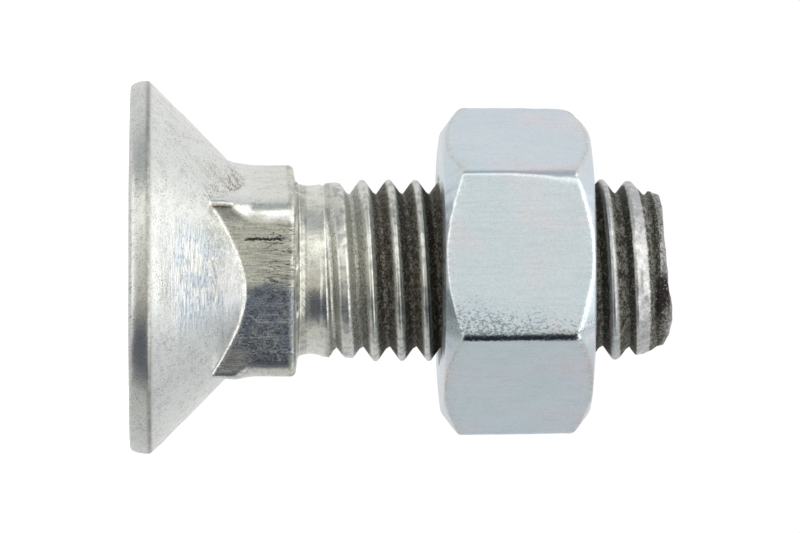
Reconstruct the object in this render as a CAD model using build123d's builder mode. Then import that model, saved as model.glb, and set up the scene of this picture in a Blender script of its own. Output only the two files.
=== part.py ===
from build123d import *
from math import cos, radians, tan
import os

"""Countersunk square neck bolt, M12 x 1.75 x 35, with its hexagon nut.

Units are millimetres. The bolt stands on the flat face of its head: +Z runs along the
shank from the head to the thread's end, and the origin is the centre of the head's face.
The flats of the square neck face +X, -X, +Y and -Y.
"""

# ---- driving dimensions ------------------------------------------------------------
# head
RIM_R_FACE = 12.03  # rim radius where it would meet the head's face
RIM_R_TOP = 12.33  # rim radius where it would meet the cone
RIM_H = 1.25  # height of the rim
CONE_HALF_ANGLE = 45.4  # half of the countersunk cone's angle
FACE_EDGE_FILLET = 0.35
RIM_CONE_FILLET = 0.50

# square neck
NECK_SQUARE = 12.0  # across flats
NECK_CORNER = 1.4  # corner radius along the neck
NECK_CORNER_AT_HEAD = 0.35  # the corners sharpen where they run into the cone
NECK_SHARP_TO = 6.7  # height up to which they stay sharp
NECK_ROUND_FROM = 8.3  # height from which they have their full radius
NECK_TOP = 10.85  # end of the neck, from the head's face
NECK_END_FILLET = 0.35

# shank and thread
SHANK_R = 5.50  # plain shank, as rolled
THREAD_R = 5.945  # crest radius of the M12 thread
PITCH = 1.75
THREAD_START = 12.95  # where the run-out begins
THREAD_FULL_TO = 32.0  # crests are full up to here
POINT_R1, POINT_Z1 = 5.62, 33.5  # the point tapers, then rounds in
POINT_R2, POINT_Z2 = 5.00, 34.85
LENGTH = 35.0
END_DISH_R = 4.35  # rolled ends are slightly dished
END_DISH_DEPTH = 0.35

# nut
NUT_FLATS = 18.85  # across flats
NUT_HEIGHT = 9.96
NUT_CORNER = 0.45  # radius along the six corner edges
NUT_FACE_R = 9.0  # radius of the flat bearing face, where the chamfer starts
NUT_CHAMFER_ANGLE = 36.0  # chamfer, from the face's plane
NUT_BORE_R = 6.0  # clears the crests of the thread envelope
NUT_CSK_R = 6.55  # countersink at both ends of the bore
NUT_CSK_DEPTH = 0.45
NUT_FACE_Z = 20.32  # bearing face above the head's face
NUT_TURN = 9.8  # from +X to the normal of the nut's nearest flat, about +Z
NUT_EDGE_FILLET = 0.12

# ---- square neck bolt --------------------------------------------------------------
cone_slope = tan(radians(CONE_HALF_ANGLE))
cone_end_z = RIM_H + (RIM_R_TOP - SHANK_R) / cone_slope
thread_start_top = THREAD_START + (THREAD_R - SHANK_R)

with BuildPart() as square_neck_bolt:
    # head, shank and thread envelope, turned about Z
    with BuildSketch(Plane.XZ) as turned:
        with BuildLine() as outline:
            Polyline(
                (0, 0),
                (RIM_R_FACE, 0),
                (RIM_R_TOP, RIM_H),
                (SHANK_R, cone_end_z),
                (SHANK_R, THREAD_START),
                (THREAD_R, thread_start_top),
                (THREAD_R, THREAD_FULL_TO),
                (POINT_R1, POINT_Z1),
                (POINT_R2, POINT_Z2),
                (END_DISH_R, LENGTH),
                (0, LENGTH - END_DISH_DEPTH),
                (0, 0),
            )
        make_face()
        corners = turned.vertices()
        fillet(
            [v for v in corners if abs(v.X - RIM_R_FACE) < 1e-6 and v.Z < 1e-6],
            FACE_EDGE_FILLET,
        )
        fillet(
            [v for v in turned.vertices() if abs(v.X - RIM_R_TOP) < 1e-6],
            RIM_CONE_FILLET,
        )
    revolve(axis=Axis.Z)

    # square neck: sharp corners inside the cone's root, then rounded ones
    with BuildSketch(Plane.XY.offset(3.0)) as neck_root:
        RectangleRounded(NECK_SQUARE, NECK_SQUARE, NECK_CORNER_AT_HEAD)
    extrude(amount=NECK_SHARP_TO - 3.0)
    with BuildSketch(Plane.XY.offset(NECK_SHARP_TO)) as neck_low:
        RectangleRounded(NECK_SQUARE, NECK_SQUARE, NECK_CORNER_AT_HEAD)
    with BuildSketch(Plane.XY.offset(NECK_ROUND_FROM)) as neck_mid:
        RectangleRounded(NECK_SQUARE, NECK_SQUARE, NECK_CORNER)
    loft(ruled=True)
    with BuildSketch(Plane.XY.offset(NECK_ROUND_FROM)) as neck_high:
        RectangleRounded(NECK_SQUARE, NECK_SQUARE, NECK_CORNER)
    extrude(amount=NECK_TOP - NECK_ROUND_FROM)

    # the neck's end: its outer edge is rounded over
    neck_end = (
        square_neck_bolt.faces()
        .filter_by(Plane.XY)
        .filter_by(lambda f: abs(f.center().Z - NECK_TOP) < 1e-4)
        .sort_by(SortBy.AREA)[-1]
    )
    fillet(neck_end.outer_wire().edges(), NECK_END_FILLET)

square_neck_bolt.part.label = "square_neck_bolt"

# ---- hexagon nut -------------------------------------------------------------------
hex_corner_r = NUT_FLATS / 2 / cos(radians(30))
chamfer_rise = (hex_corner_r + 0.5 - NUT_FACE_R) * tan(radians(NUT_CHAMFER_ANGLE))

with BuildPart() as hex_nut:
    with BuildSketch(Plane.XY.offset(NUT_FACE_Z)) as hexagon:
        RegularPolygon(radius=hex_corner_r, side_count=6, rotation=NUT_TURN + 30)
        fillet(hexagon.vertices(), NUT_CORNER)
    extrude(amount=NUT_HEIGHT)

    # both ends are chamfered on a cone, which leaves the arcs on the six flats
    with BuildSketch(Plane.XZ) as barrel:
        with BuildLine() as barrel_outline:
            Polyline(
                (0, NUT_FACE_Z),
                (NUT_FACE_R, NUT_FACE_Z),
                (hex_corner_r + 0.5, NUT_FACE_Z + chamfer_rise),
                (hex_corner_r + 0.5, NUT_FACE_Z + NUT_HEIGHT - chamfer_rise),
                (NUT_FACE_R, NUT_FACE_Z + NUT_HEIGHT),
                (0, NUT_FACE_Z + NUT_HEIGHT),
                (0, NUT_FACE_Z),
            )
        make_face()
    revolve(axis=Axis.Z, mode=Mode.INTERSECT)

    # bore with a countersink at each end
    with BuildSketch(Plane.XZ) as bore:
        with BuildLine() as bore_outline:
            Polyline(
                (0, NUT_FACE_Z - 0.5),
                (NUT_CSK_R, NUT_FACE_Z - 0.5),
                (NUT_CSK_R, NUT_FACE_Z),
                (NUT_BORE_R, NUT_FACE_Z + NUT_CSK_DEPTH),
                (NUT_BORE_R, NUT_FACE_Z + NUT_HEIGHT - NUT_CSK_DEPTH),
                (NUT_CSK_R, NUT_FACE_Z + NUT_HEIGHT),
                (NUT_CSK_R, NUT_FACE_Z + NUT_HEIGHT + 0.5),
                (0, NUT_FACE_Z + NUT_HEIGHT + 0.5),
                (0, NUT_FACE_Z - 0.5),
            )
        make_face()
    revolve(axis=Axis.Z, mode=Mode.SUBTRACT)

hex_nut.part.label = "hex_nut"

# ---- export ------------------------------------------------------------------------
os.makedirs("parts", exist_ok=True)
export_step(square_neck_bolt.part, "parts/square_neck_bolt.step")
export_step(hex_nut.part, "parts/hex_nut.step")
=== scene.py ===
from math import atan2, cos, pi, radians, sin, sqrt, tan

import bpy
import numpy as np
from mathutils import Matrix, Vector


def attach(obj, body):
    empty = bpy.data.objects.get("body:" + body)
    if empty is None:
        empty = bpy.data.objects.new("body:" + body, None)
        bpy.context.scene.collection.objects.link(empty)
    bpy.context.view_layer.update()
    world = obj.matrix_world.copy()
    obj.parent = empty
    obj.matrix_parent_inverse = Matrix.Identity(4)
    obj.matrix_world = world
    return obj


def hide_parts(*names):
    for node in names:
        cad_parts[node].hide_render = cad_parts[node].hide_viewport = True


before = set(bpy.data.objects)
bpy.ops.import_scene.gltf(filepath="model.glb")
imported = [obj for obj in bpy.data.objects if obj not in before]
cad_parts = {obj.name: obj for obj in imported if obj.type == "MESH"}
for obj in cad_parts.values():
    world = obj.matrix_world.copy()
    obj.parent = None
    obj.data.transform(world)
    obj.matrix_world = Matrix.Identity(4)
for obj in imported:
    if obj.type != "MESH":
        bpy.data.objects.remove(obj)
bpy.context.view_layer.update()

MM = 0.001


# ======================================================================================
# small numeric tools
# ======================================================================================
def lattice_noise(seed, nu, nv):
    """A smooth noise in -1..1 of (u, v), both 0..1, periodic in u."""
    table = np.random.RandomState(seed).uniform(-1, 1, (nu, nv + 2))

    def at(u, v):
        u = np.asarray(u, float) % 1.0 * nu
        v = np.clip(np.asarray(v, float), 0, 1) * nv
        u, v = np.broadcast_arrays(u, v)
        i, j = np.floor(u).astype(int), np.floor(v).astype(int)
        j = np.minimum(j, nv - 1)
        fu, fv = u - i, v - j
        fu, fv = fu * fu * (3 - 2 * fu), fv * fv * (3 - 2 * fv)
        i0, i1 = i % nu, (i + 1) % nu
        return (
            table[i0, j] * (1 - fu) * (1 - fv)
            + table[i1, j] * fu * (1 - fv)
            + table[i0, j + 1] * (1 - fu) * fv
            + table[i1, j + 1] * fu * fv
        )

    return at


def smax(a, b, k):
    return 0.5 * (a + b + np.sqrt((a - b) ** 2 + 4 * k * k))


def smin(a, b, k):
    return 0.5 * (a + b - np.sqrt((a - b) ** 2 + 4 * k * k))


def step(x, a, b):
    t = np.clip((np.asarray(x, float) - a) / (b - a), 0, 1)
    return t * t * (3 - 2 * t)


def bell(x, centre, width):
    return np.exp(-(((np.asarray(x, float) - centre) / width) ** 2))


def turn_diff(theta, centre):
    """Angle from centre to theta, in -pi..pi."""
    return (np.asarray(theta, float) - centre + pi) % (2 * pi) - pi


# ======================================================================================
# directions of the view, fixed in the part's frame (the shank's axis is +Z)
# ======================================================================================
TO_CAMERA = Vector((-sin(radians(14)), -cos(radians(14)), 0))
PHOTO_UP = Vector((-cos(radians(14)), sin(radians(14)), 0))
ANGLE_UP = radians(166)
ANGLE_NEAR = radians(256)
ANGLE_DOWN = radians(346)

# ======================================================================================
# the bolt's surface: radius as a function of the angle and the height, in mm
# ======================================================================================
PITCH = 1.75
CREST_Z = 15.29  # a crest's height at ANGLE_UP
CREST_R, ROOT_R, BLANK_R = 5.962, 4.90, 5.50
FLANK = 1.42
THREAD_FROM, THREAD_TO = 11.9, 34.62

RIM = np.array(
    [
        (0.00, 11.72), (0.02, 11.83), (0.06, 11.93), (0.13, 12.01), (0.22, 12.07),
        (0.32, 12.117), (0.44, 12.158), (0.57, 12.193), (0.70, 12.220), (0.84, 12.242),
        (0.98, 12.257), (1.12, 12.263), (1.25, 12.258), (1.36, 12.225), (1.44, 12.170), (1.51, 12.105),
        (1.60, 12.02), (1.72, 11.91), (1.85, 11.79), (1.98, 11.665),
    ]
)

# how far each height sits off the thread's axis, towards PHOTO_UP
HEAD_SHIFT = ((0.0, 1.5, 2.2, 6.2, 7.0, 10.8, 12.0, 14.0), (0.28, 0.28, 0.24, 0.23, 0.075, 0.06, 0.09, 0.015))

head_wave = lattice_noise(3, 9, 5)
head_fine = lattice_noise(5, 40, 14)
flat_wave = lattice_noise(7, 32, 6)
flat_fine = lattice_noise(8, 120, 5)
shank_wave = lattice_noise(11, 14, 6)
crest_chip = lattice_noise(13, 70, 26)
crest_wave = lattice_noise(17, 12, 20)
end_wave = lattice_noise(19, 22, 8)
end_fine = lattice_noise(23, 60, 20)


def rounded_square(theta, half, corner):
    """Radius of a rounded square with flats on X and Y."""
    t = (theta + pi / 4) % (pi / 2) - pi / 4
    c, s = np.cos(t), np.abs(np.sin(t))
    flat = half / c
    k = half - corner
    along = k * (c + s)
    arc = along + np.sqrt(np.maximum(corner**2 - 2 * k * k + along**2, 0))
    return np.where(flat * s <= k, flat, arc)


def head_radius(z):
    r = np.interp(z, RIM[:, 0], RIM[:, 1])
    return np.where(z > 1.98, 11.665 - 1.018 * (z - 1.98), r)


def neck_radius(theta, z):
    corner = 0.42 + (1.50 - 0.42) * step(z, 6.3, 8.4)
    r = rounded_square(theta, 6.0, corner)
    # the flats are a little crowned, and were pressed by a worn die
    t = (theta + pi / 4) % (pi / 2) - pi / 4
    across = 6.0 * np.tan(t)
    crown = 0.045 * (1 - (across / 6.0) ** 2)
    wave = 0.030 * flat_wave(theta / (2 * pi), (z - 4.5) / 7.0)
    wave = wave + 0.007 * flat_fine(theta / (2 * pi), (z - 4.5) / 7.0)
    # the flats swell a little where they run into the cone
    swell = 0.045 * (1 - step(z, 6.0, 8.2))
    return r - 0.03 + crown + wave + swell


def body_radius(theta, z):
    """Head, cone and neck."""
    u = theta / (2 * pi)
    r = head_radius(z)
    on_cone = step(z, 1.2, 2.5)
    r = r + 0.035 * head_wave(u, z / 9.0) * on_cone + 0.008 * head_fine(u, z / 9.0) * on_cone
    r = r + 0.02 * head_wave(u + 0.37, 0.1) * (1 - on_cone)
    # small nicks along the rim's two edges
    nick = np.maximum(head_fine(u + 0.21, 0.5 + z / 9.0) - 0.55, 0)
    r = r - 0.16 * nick * (bell(z, 1.35, 0.25) + 0.7 * bell(z, 0.1, 0.12))
    neck = neck_radius(theta, z)
    joined = smax(r, neck, 0.05)
    return np.where(z > 3.6, joined, r)


def thread_profile(phase):
    """Full thread's radius against the distance from the crest's middle, in pitches."""
    a = np.abs((phase + 0.5) % 1.0 - 0.5) * PITCH
    flank = CREST_R + 0.145 - a * FLANK
    r = smin(flank, CREST_R, 0.025)
    return smax(r, ROOT_R, 0.02)


def thread_radius(theta, z):
    """The shank from the neck up: plain, run-out, full thread, point."""
    u = theta / (2 * pi)
    turn = turn_diff(theta, ANGLE_UP)
    # the last turn was squeezed when the blank was cut off
    squeezed = z - 0.20 * bell(z, 33.85, 0.55)
    phase = (squeezed - CREST_Z) / PITCH - (theta - ANGLE_UP) / (2 * pi)
    full = thread_profile(phase)
    # its last two lands are wide and flat
    frac = np.abs((phase + 0.5) % 1.0 - 0.5) * PITCH
    upper = np.maximum(np.cos(turn), 0) ** 2
    wide = CREST_R + 0.38 - 0.27 * upper - frac * FLANK * 1.12
    full = full + (np.maximum(smin(wide, CREST_R, 0.02), ROOT_R) - full) * step(z, 31.8, 32.6)
    depth = np.interp(z, [12.5, 12.85, 13.2, 13.55, 14.3, 15.1], [0.0, 0.08, 0.34, 0.53, 0.62, 0.60])
    rise = np.interp(
        z, [11.9, 12.4, 12.66, 13.5, 14.1, 14.5, 15.0, 15.4], [0.03, 0.05, 0.165, 0.25, 0.20, 0.20, 0.42, 0.462]
    )
    v = (z - 11.0) / 25.0
    r = smin(full + (0.60 - depth), BLANK_R + rise + 0.012, 0.02)
    # rolled crests are not quite even
    r = r + (0.014 * crest_wave(u, v) + 0.010 * crest_chip(u, v)) * step(r, 5.2, 5.9)
    plain = BLANK_R + 0.09 * (1 - step(z, 10.9, 11.9)) + 0.03 + 0.010 * shank_wave(u, (z - 10.9) / 3.0)
    r = plain + (r - BLANK_R) * step(z, 11.9, 12.3)
    # the point: crests flatten and the end rounds in
    worn = 0.05 * end_wave(u, (z - 31.0) / 5.0) + 0.035 * end_fine(u, (z - 31.0) / 5.0)
    point = np.interp(
        z,
        [30.5, 31.9, 32.8, 33.5, 34.1, 34.5, 34.8, 35.0],
        [6.10, 5.98, 5.83, 5.62, 5.42, 5.24, 5.02, 4.80],
    )
    point = point - 0.26 * upper * step(z, 32.9, 33.7)
    amount = step(z, 31.5, 33.2)
    r = smin(r, point + worn * amount, 0.05)
    # the last groove is pulled shallow and torn
    floor = 4.86 - 0.08 * step(z, 31.8, 32.6) + 0.16 * step(z, 34.0, 34.6)
    floor = floor + (0.05 * end_wave(u + 0.3, v) + 0.04 * end_fine(u + 0.4, v)) * step(z, 32.6, 33.6)
    r = smax(r, floor, 0.03)
    across = r * np.cos(theta - ANGLE_DOWN)
    torn = bell(z, 34.55, 0.33) * bell(across, 1.55, 1.0) * (np.cos(theta - ANGLE_NEAR) > 0)
    torn = torn * (0.75 + 0.25 * end_fine(u * 3.0, v))
    return r - 0.42 * torn


def end_height(theta, r):
    """The end face: a little tilted and dished, with a swollen lip on one side."""
    u = theta / (2 * pi)
    across = r * np.cos(theta - ANGLE_DOWN)
    near = r * np.cos(theta - ANGLE_NEAR)
    z = 35.00 + 0.020 * across
    lip = np.exp(-(((across - 2.9) / 2.1) ** 2)) * np.exp(-(((near - 3.2) / 2.6) ** 2))
    z = z + 0.44 * lip
    z = z - 0.38 * step(4.1 - r, 0.0, 2.6)
    z = z + (0.05 * end_wave(u + 0.1, r / 6.0) + 0.035 * end_fine(u + 0.2, r / 6.0)) * step(r, 0.4, 2.5)
    return z


# ======================================================================================
# meshes from rings of points around the axis
# ======================================================================================
class Rings:
    """Builds one closed surface from rings that share a list of angles."""

    def __init__(self, angles):
        self.angles = np.asarray(angles, float)
        self.n = len(self.angles)
        self.co, self.faces, self.tags = [], [], []
        self.open_ring = None

    def add_point(self, r, theta, z, tag):
        self.co.append((r * cos(theta), r * sin(theta), z))
        self.tags.append(tag)
        return len(self.co) - 1

    def ring(self, r, z, tag):
        """Add a ring and join it to the ring before."""
        r = np.broadcast_to(np.asarray(r, float), (self.n,))
        z = np.broadcast_to(np.asarray(z, float), (self.n,))
        new = [
            self.add_point(r[i], self.angles[i], z[i], tag) for i in range(self.n)
        ]
        if self.open_ring is not None:
            old = self.open_ring
            for i in range(self.n):
                j = (i + 1) % self.n
                self.faces.append((old[i], old[j], new[j], new[i]))
        self.open_ring = new
        return new

    def pole(self, z, tag):
        """Close with a point on the axis, ahead of the first ring or after the last."""
        self.co.append((0.0, 0.0, z))
        self.tags.append(tag)
        return len(self.co) - 1

    def fan(self, ring, tip, first):
        for i in range(self.n):
            j = (i + 1) % self.n
            self.faces.append((tip, ring[j], ring[i]) if first else (ring[i], ring[j], tip))

    def helix(self, radius, z_from, z_to, pitch, z_phase, offsets, tag, outward=True):
        """A threaded wall between the open ring, at z_from, and a new ring at z_to.

        Its rows follow the helix, so each crest and root has rows of its own: a row is at
        z_phase + pitch * (turns + offset + theta / 2 pi). z_to may be below z_from.
        """
        n, m = self.n, len(offsets)
        low, high = min(z_from, z_to), max(z_from, z_to)
        start = self.open_ring
        gap = 0.35 * pitch / m
        columns = []
        for i in range(n):
            th = self.angles[i]
            rows = {}
            k = int(np.floor((low - z_phase) / pitch - th / (2 * pi))) * m - 2 * m
            while True:
                z = z_phase + pitch * (k // m + offsets[k % m] + th / (2 * pi))
                if z > high - gap:
                    break
                if z > low + gap:
                    rows[k] = None
                    rows[k] = (th, z)
                k += 1
            keys = sorted(rows)
            rr = radius(np.full(len(keys), th), np.array([rows[k][1] for k in keys]))
            for k, r in zip(keys, rr):
                rows[k] = self.add_point(float(r), rows[k][0], rows[k][1], tag)
            columns.append(rows)
        self.open_ring = None
        end_r = radius(self.angles, np.full(n, z_to))
        end = self.ring(end_r, z_to, tag)
        bottom, top = (start, end) if z_to > z_from else (end, start)
        flip = z_to < z_from
        for i in range(n):
            j = (i + 1) % n
            shift = m if j == 0 else 0
            left, right = columns[i], {k - shift: v for k, v in columns[j].items()}
            common = sorted(set(left) & set(right))
            lo, hi = common[0], common[-1]
            made = []
            for a, b in zip(common, common[1:]):
                made.append((left[a], right[a], right[b], left[b]))
            left_low = [left[k] for k in sorted(left) if k < lo]
            right_low = [right[k] for k in sorted(right) if k < lo]
            made.append(
                [bottom[i], bottom[j]] + right_low + [right[lo], left[lo]] + left_low[::-1]
            )
            left_high = [left[k] for k in sorted(left) if k > hi]
            right_high = [right[k] for k in sorted(right) if k > hi]
            made.append(
                [left[hi], right[hi]] + right_high + [top[j], top[i]] + left_high[::-1]
            )
            for f in made:
                f = tuple(dict.fromkeys(f))
                if len(f) >= 3:
                    self.faces.append(f[::-1] if flip else f)
        self.open_ring = end
        return end


def make_object(name, rings, attributes, centre_shift=None):
    co = np.array(rings.co, float)
    if centre_shift is not None:
        co = centre_shift(co)
    mesh = bpy.data.meshes.new(name)
    mesh.from_pydata((co * MM).tolist(), [], rings.faces)
    mesh.validate()
    for key, values in attributes(co).items():
        layer = mesh.attributes.new(key, "FLOAT", "POINT")
        layer.data.foreach_set("value", np.asarray(values, np.float32))
    mesh.polygons.foreach_set("use_smooth", np.ones(len(mesh.polygons), bool))
    mesh.update()
    obj = bpy.data.objects.new(name, mesh)
    bpy.context.scene.collection.objects.link(obj)
    return obj


# ---- bolt ----------------------------------------------------------------------------
def bolt_angles():
    base = list(np.arange(0, 360, 1.5))
    for corner in (45, 135, 225, 315):
        base = [a for a in base if abs(a - corner) > 9.2]
        base += list(corner + np.arange(-9.0, 9.01, 0.75))
    return np.radians(sorted(base))


def build_bolt():
    rings = Rings(bolt_angles())
    th = rings.angles
    tip = rings.pole(0.0, "face")
    first = rings.ring(1.5, 0.0, "face")
    rings.fan(first, tip, True)
    for r in (4.0, 7.0, 9.5, 11.2):
        rings.ring(r, 0.0, "face")
    rings.ring(RIM[0, 1] - 0.10, 0.0, "face")
    rows = list(RIM[:, 0]) + list(np.arange(2.15, 4.7, 0.20))
    rows += list(np.arange(4.75, 8.3, 0.085)) + list(np.arange(8.38, 10.40, 0.16))
    for z in rows:
        rings.ring(body_radius(th, np.full_like(th, z)), z, "body")
    # over the neck's end and down to the shank
    side = body_radius(th, np.full_like(th, 10.42))
    edge = 0.38
    wobble = 0.03 * flat_wave(th / (2 * pi), 0.9)
    for k in range(0, 6):
        a = radians(90 * k / 5)
        rings.ring(side - edge * (1 - cos(a)), 10.47 + wobble + edge * sin(a), "neck_end")
    rim_r = side - edge
    foot = 5.78
    for f in (0.25, 0.5, 0.75, 1.0):
        r = rim_r + (foot - rim_r) * f
        rise = 0.20 * (rim_r - r) / (rim_r - foot)
        rings.ring(r, 10.85 + wobble * (1 - f) + rise, "neck_end")
    for k in range(1, 6):
        a = radians(90 * k / 5)
        rings.ring(foot - 0.17 * sin(a), 11.05 + 0.26 * (1 - cos(a)), "shank")
    for z in np.arange(11.40, THREAD_FROM + 0.01, 0.125):
        rings.ring(thread_radius(th, np.full_like(th, z)), z, "shank")
    last_plain = float(np.arange(11.40, THREAD_FROM + 0.01, 0.125)[-1])
    offsets = [-0.46, -0.40, -0.33, -0.24, -0.15, -0.085, -0.055, 0.0, 0.055, 0.085, 0.15, 0.24, 0.33, 0.40]
    offsets = sorted(o % 1.0 for o in offsets)
    phase_z = CREST_Z - PITCH * ANGLE_UP / (2 * pi)
    rings.helix(thread_radius, last_plain, THREAD_TO, PITCH, phase_z, offsets, "thread")
    # the point's edge and the end face
    side = thread_radius(th, np.full_like(th, THREAD_TO))
    lip_r = np.minimum(side - 0.02, 4.95)
    for f in (0.35, 0.65, 0.85, 1.0):
        r = side + (lip_r - 0.45 - side) * f**1.7
        top = end_height(th, r)
        z = THREAD_TO + (top - THREAD_TO) * sqrt(1 - (1 - f) ** 2)
        rings.ring(r, z, "end")
    inner = lip_r - 0.45
    for f in (0.93, 0.85, 0.75, 0.63, 0.5, 0.36, 0.22, 0.1):
        r = inner * f
        rings.ring(r, end_height(th, r), "end")
    top = rings.pole(float(end_height(np.array([0.0]), np.array([0.0]))[0]), "end")
    rings.fan(rings.open_ring, top, False)

    def shift(co):
        # the head was upset a touch off the shank's axis
        amount = np.interp(co[:, 2], HEAD_SHIFT[0], HEAD_SHIFT[1])
        co = co.copy()
        rise = np.clip((co[:, 0] * PHOTO_UP.x + co[:, 1] * PHOTO_UP.y + 5.0) / 17.0, 0, 1)
        rise = rise * step(np.hypot(co[:, 0], co[:, 1]), 7.0, 11.0)
        co[:, 2] += 0.13 * rise * (1 - step(co[:, 2], 0.2, 1.2))
        co[:, 0] += amount * PHOTO_UP.x
        co[:, 1] += amount * PHOTO_UP.y
        return co

    tags = np.array(rings.tags)

    def attributes(co):
        r = np.hypot(co[:, 0], co[:, 1])
        th = np.arctan2(co[:, 1], co[:, 0]) % (2 * pi)
        z = co[:, 2]
        u = th / (2 * pi)
        threaded = step(z, 12.7, 13.2)
        # dirt lies in the grooves and leaves the lands clean
        turns = (z - 0.20 * bell(z, 33.85, 0.55) - CREST_Z) / PITCH - (th - ANGLE_UP) / (2 * pi)
        off_crest = np.abs((turns + 0.5) % 1.0 - 0.5)
        land = 0.115 + 0.03 * (1 - step(z, 14.5, 15.5)) + 0.075 * step(z, 31.9, 32.6)
        groove = step(off_crest, land, land + 0.07)
        patch = lattice_noise(31, 10, 16)(u, (z - 12) / 24)
        dark = np.interp(z, [12.6, 13.3, 14.6, 15.3, 16.2, 17.2, 35.5], [0.30, 0.40, 0.45, 0.55, 0.85, 1.0, 1.0])
        dirt = threaded * groove * np.clip(dark + 0.16 * patch, 0, 1)
        dirt = np.maximum(dirt, step(z, 34.1, 34.5) * (0.55 + 0.25 * patch))
        dirt = np.where(tags == "end", 0.45, dirt)
        # the torn pocket beside the lip
        across = r * np.cos(th - ANGLE_DOWN)
        pocket = bell(z, 34.80, 0.46) * bell(across, 1.75, 1.35) * step(r * np.cos(th - ANGLE_NEAR), 1.5, 3.0)
        pocket = np.clip(pocket * 2.2, 0, 1) * (r > 3.7)
        # brown dirt where the cone runs into the neck's side flats
        cone_r = head_radius(z)
        seam = bell(r - cone_r, 0.06, 0.10) * step(z, 4.7, 5.5) * (1 - step(z, 8.0, 8.4))
        t = (th + pi / 4) % (pi / 2) - pi / 4
        neck = step(z, 5.2, 6.0) * (1 - step(z, 10.75, 10.9)) * step(r - cone_r, 0.06, 0.20)
        on_flat = neck * (1 - step(np.abs(6.0 * np.tan(t)), 4.5, 5.1))
        front = np.abs(turn_diff(th, radians(270))) < radians(44.9)
        crest = threaded * step(r, 5.84, 5.93)
        return {
            "dirt": dirt,
            "pocket": pocket,
            "seam": np.clip(1.5 * seam, 0, 1) * (1 - 0.65 * front),
            "neck": neck,
            "front": on_flat * front,
            "crest": crest,
            "cone": step(z, 1.6, 2.2) * (1 - step(r - cone_r, 0.05, 0.16)) * (z < 8.5),
            "rim": (1 - step(z, 1.35, 1.52)) * (tags == "body"),
            # dark line between the rim and the cone: dirt and painted shade
            "rim_line": bell(z, 1.33, 0.15) * (tags == "body"),
            # the cone's scuffed patch, which also holds a painted highlight
            "scuff": step(z, 2.6, 3.4) * (1 - step(r - cone_r, 0.04, 0.14)) * (z < 8.2) * step(turn_diff(th, ANGLE_NEAR), radians(-24), radians(-8)) * (1 - step(turn_diff(th, ANGLE_NEAR), radians(14), radians(30))),
            "foot": bell(z, 11.06, 0.06) * (r < 6.3) * (z > 10.8),
            "lip": (tags == "neck_end").astype(float),
            "plus": np.where(threaded > 0, 0.5 + 0.5 * np.sin(2 * pi * turns), 0.5),
            "root": threaded * bell(off_crest, 0.5, 0.055),
            "land": threaded * (1 - groove),
            "late": step(z, 30.2, 31.0),
            "crease": bell(co[:, 0], -5.78, 0.13) * (co[:, 1] < -5.3) * step(z, 5.2, 5.5) * (1 - step(z, 6.5, 7.3)),
            "threaded": threaded,
        }

    return make_object("bolt_forging", rings, attributes, shift)


# ---- nut -----------------------------------------------------------------------------
NUT_LOW, NUT_HIGH = 20.32, 30.31
NUT_TURN = radians(9.8)  # to the normal of the nearest flat
NUT_HALF = 9.43
nut_wave = lattice_noise(41, 24, 6)
nut_edge = lattice_noise(43, 96, 40)
nut_jag = lattice_noise(47, 300, 3)


def hex_radius(theta, half, corner):
    t = (theta - NUT_TURN + pi / 6) % (pi / 3) - pi / 6
    c, s = np.cos(t), np.abs(np.sin(t))
    flat = half / c
    tip = (half - corner) / cos(pi / 6)  # centre of the corner's arc
    k = tip * np.cos(pi / 6 - np.abs(t))
    arc = k + np.sqrt(np.maximum(corner**2 - tip**2 + k**2, 0))
    reach = tip * 0.5  # along the flat, where the arc starts
    return np.where(flat * s <= reach, flat, arc)


def corner_size(theta, z):
    """The corners' rounding: fuller at one end, and largest on the corner that was least filled."""
    upper = np.maximum(np.cos(theta - NUT_TURN - radians(210)), 0) ** 6
    lower = np.maximum(np.cos(theta - NUT_TURN - radians(270)), 0) ** 6
    return 0.52 + (0.18 + 0.95 * upper) * step(z, 24.5, 29.6) + 0.30 * lower


def nut_side(theta, z):
    u = theta / (2 * pi)
    taper = 1 + 0.0040 * (24.0 - z) / 6.0
    t = (theta - NUT_TURN + pi / 6) % (pi / 3) - pi / 6
    across = NUT_HALF * np.tan(t)
    crown = 0.025 * (1 - (across / 5.4) ** 2)
    r = hex_radius(theta, NUT_HALF * taper, corner_size(theta, z))
    r = r - 0.05 * np.cos(theta - ANGLE_UP)
    at_edge = bell(np.abs(across), 5.3, 0.45)
    return r + crown - 0.012 + 0.012 * nut_wave(u, (z - 20) / 11) + 0.022 * at_edge * nut_edge(u, (z - 20) / 11)


def nut_angles():
    base = list(np.arange(0, 360, 1.0))
    out = []
    corners = [np.degrees(NUT_TURN) + 30 + 60 * k for k in range(6)]
    for a in base:
        if all(abs((a - c + 180) % 360 - 180) > 6.6 for c in corners):
            out.append(a)
    for c in corners:
        out += [(c + d) % 360 for d in np.arange(-6.3, 6.31, 0.45)]
    return np.radians(sorted(out))


def bevelled(path, cuts, counts):
    """Round the corners of a path of (r, z) arrays: each inner corner is cut and bent."""
    out = [path[0]]
    for k in range(1, len(path) - 1):
        (r0, z0), (r1, z1), (r2, z2) = path[k - 1], path[k], path[k + 1]
        cut, count = cuts[k - 1], counts[k - 1]
        la = np.hypot(r1 - r0, z1 - z0)
        lb = np.hypot(r2 - r1, z2 - z1)
        ca, cb = np.minimum(cut, 0.45 * la), np.minimum(cut, 0.45 * lb)
        ar, az = r1 + (r0 - r1) * ca / la, z1 + (z0 - z1) * ca / la
        br, bz = r1 + (r2 - r1) * cb / lb, z1 + (z2 - z1) * cb / lb
        for s in np.linspace(0, 1, count):
            out.append(
                (
                    (1 - s) ** 2 * ar + 2 * s * (1 - s) * r1 + s * s * br,
                    (1 - s) ** 2 * az + 2 * s * (1 - s) * z1 + s * s * bz,
                )
            )
    out.append(path[-1])
    return out


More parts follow.
